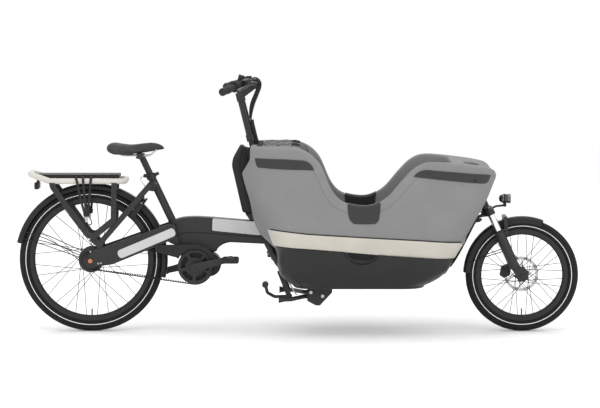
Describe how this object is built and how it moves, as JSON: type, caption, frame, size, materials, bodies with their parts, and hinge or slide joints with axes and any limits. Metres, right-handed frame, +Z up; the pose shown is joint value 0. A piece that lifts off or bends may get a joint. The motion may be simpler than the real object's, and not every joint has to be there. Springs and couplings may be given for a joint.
{
  "type": "cargo bicycle",
  "caption": "Two-wheel cargo bicycle with a child-carrying foam box ahead of the rider, rod-linked front fork, mid motor, belt drive, rear rack and folding stand.",
  "frame": {"origin": "on the ground, midway between the rear flap and the front tyre, in the middle plane", "axes": "+X forward, +Y to the rider's left, +Z up"},
  "size_m": [2.5659, 0.645, 1.1752],
  "materials": {
    "frame_black": "satin black powder coat",
    "frame_silver": "satin silver paint",
    "rack_cream": "satin off-white paint",
    "black_plastic": "fine textured black plastic",
    "dark_plastic": "fine textured charcoal plastic",
    "shell_plastic": "smooth dark grey moulded plastic",
    "box_foam": "fine beaded grey moulded foam",
    "band_paint": "satin pearl paint",
    "tyre_rubber": "matt black rubber",
    "soft_rubber": "matt ribbed rubber",
    "belt_rubber": "matt toothed rubber",
    "rim_black": "satin black anodised",
    "spoke_steel": "fine bright wire",
    "hub_black": "satin black anodised",
    "steel": "brushed",
    "axle_bronze": "satin copper colour",
    "lamp_silver": "silver with a clear lens",
    "lamp_red": "clear red",
    "saddle_skin": "soft grained black",
    "cushion_fabric": "woven dark grey",
    "strap_web": "woven webbing",
    "screen": "dark screen in a black case"
  },
  "bodies": {
    "frame": {"main_beam": "frame_black", "rear_stays": "frame_black", "cargo_rails": "frame_black", "head_tubes": "frame_black", "headset_bearings": "steel", "frame_inlays": "frame_silver", "motor": "black_plastic", "belt_guard": "black_plastic", "drive_belt": "belt_rubber", "seat_clamp": "frame_black", "rear_mudguard": "black_plastic", "rack_tube": "rack_cream", "rack_platform": "black_plastic", "rack_stays": "frame_black", "rack_straps": "strap_web", "tail_light": "lamp_red", "ring_lock": "dark_plastic", "battery": "dark_plastic", "cargo_box": "box_foam", "cargo_band": "band_paint", "cargo_shell": "shell_plastic", "box_trims": "dark_plastic", "bench_cushions": "cushion_fabric", "harness_straps": "strap_web", "stand_bracket": "frame_black", "rear_axle": "axle_bronze"},
    "shackle": {"lock_shackle": "steel"},
    "stand": {"stand_legs": "frame_black"},
    "stand_pedal": {"stand_lever": "frame_black"},
    "rear_wheel": {"rear_tyre": "tyre_rubber", "rear_rim": "rim_black", "rear_spokes": "spoke_steel", "rear_hub": "hub_black"},
    "cranks": {"crankset": "frame_black"},
    "right_pedal": {"pedal_right": "black_plastic"},
    "left_pedal": {"pedal_left": "black_plastic"},
    "seat": {"seat_post": "frame_black", "saddle": "saddle_skin"},
    "steering": {"steering_column": "frame_black", "stem": "frame_black", "handlebar": "frame_black", "grips": "soft_rubber", "display": "screen", "brake_mounts": "dark_plastic", "control_cables": "black_plastic"},
    "left_lever": {"brake_lever_left": "frame_black"},
    "right_lever": {"brake_lever_right": "frame_black"},
    "shifter": {"twist_shifter": "soft_rubber"},
    "steering_rod": {"tie_rod": "frame_black"},
    "fork": {"fork_crown": "frame_black"},
    "lamp": {"headlight": "lamp_silver"},
    "fork_slider": {"fork_lowers": "frame_black", "front_mudguard": "black_plastic", "brake_caliper": "frame_black", "front_axle": "steel"},
    "front_wheel": {"front_tyre": "tyre_rubber", "front_rim": "rim_black", "front_spokes": "spoke_steel", "front_hub": "hub_black", "brake_disc": "steel"}
  },
  "joints": [
    {"name": "rear_wheel_spin", "type": "hinge", "parent": "frame", "child": "rear_wheel", "pos_m": [-0.944, 0, 0.33], "axis": [0, 1, 0], "continuous": true},
    {"name": "front_wheel_spin", "type": "hinge", "parent": "fork_slider", "child": "front_wheel", "pos_m": [1.025, 0, 0.258], "axis": [0, 1, 0], "continuous": true},
    {"name": "crank_spin", "type": "hinge", "parent": "frame", "child": "cranks", "pos_m": [-0.469, 0, 0.301], "axis": [0, 1, 0], "continuous": true},
    {"name": "right_pedal_spin", "type": "hinge", "parent": "cranks", "child": "right_pedal", "pos_m": [-0.30405, 0, 0.34213], "axis": [0, 1, 0], "continuous": true},
    {"name": "left_pedal_spin", "type": "hinge", "parent": "cranks", "child": "left_pedal", "pos_m": [-0.63395, 0, 0.25987], "axis": [0, 1, 0], "continuous": true},
    {"name": "handlebar_steer", "type": "hinge", "parent": "frame", "child": "steering", "pos_m": [-0.21, 0, 0.864], "axis": [-0.2402, 0, 0.9707], "range_deg": [-35, 35]},
    {"name": "rod_swing", "type": "hinge", "parent": "steering", "child": "steering_rod", "pos_m": [-0.13044, 0, 0.35519], "axis": [-0.2402, 0, 0.9707], "range_deg": [-35, 35]},
    {"name": "fork_steer", "type": "hinge", "parent": "frame", "child": "fork", "pos_m": [0.9054, 0, 0.4468], "axis": [-0.4147, 0, 0.91], "range_deg": [-35, 35]},
    {"name": "fork_travel", "type": "slide", "parent": "fork", "child": "fork_slider", "axis": [-0.4147, 0, 0.91], "range_m": [0, 0.035], "stiffness_N_per_m": 15000, "springref_m": -0.03},
    {"name": "left_brake_pull", "type": "hinge", "parent": "steering", "child": "left_lever", "pos_m": [-0.23089, 0.19765, 1.13314], "axis": [-0.0887, 0.1549, 0.9839], "range_deg": [0, 10], "stiffness_Nm_per_rad": 3, "springref_deg": -8.59},
    {"name": "right_brake_pull", "type": "hinge", "parent": "steering", "child": "right_lever", "pos_m": [-0.23089, -0.19765, 1.13314], "axis": [0.0887, 0.1549, -0.9839], "range_deg": [0, 10], "stiffness_Nm_per_rad": 3, "springref_deg": -8.59},
    {"name": "gear_twist", "type": "hinge", "parent": "steering", "child": "shifter", "pos_m": [-0.268, -0.19, 1.131], "axis": [-0.489, -0.8538, -0.1785], "range_deg": [-80, 80]},
    {"name": "lamp_tilt", "type": "hinge", "parent": "fork", "child": "lamp", "pos_m": [0.945, 0, 0.577], "axis": [0, 1, 0], "range_deg": [-10, 10]},
    {"name": "seat_height", "type": "slide", "parent": "frame", "child": "seat", "axis": [-0.4281, 0, 0.9037], "range_m": [-0.06, 0.09]},
    {"name": "stand_swing", "type": "hinge", "parent": "frame", "child": "stand", "pos_m": [0.08, 0, 0.168], "axis": [0, -1, 0], "range_deg": [0, 90]},
    {"name": "stand_pedal_press", "type": "hinge", "parent": "frame", "child": "stand_pedal", "pos_m": [-0.039, 0, 0.167], "axis": [0, -1, 0], "range_deg": [0, 25]},
    {"name": "lock_turn", "type": "hinge", "parent": "frame", "child": "shackle", "pos_m": [-0.7357, 0, 0.55754], "axis": [0.8167, 0, -0.5771], "range_deg": [0, 104]}
  ],
  "couplings": [
    {"joint": "rod_swing", "follows": "handlebar_steer", "ratio": -1},
    {"joint": "fork_steer", "follows": "handlebar_steer", "ratio": 1},
    {"joint": "stand_pedal_press", "follows": "stand_swing", "ratio": 0.27778}
  ]
}
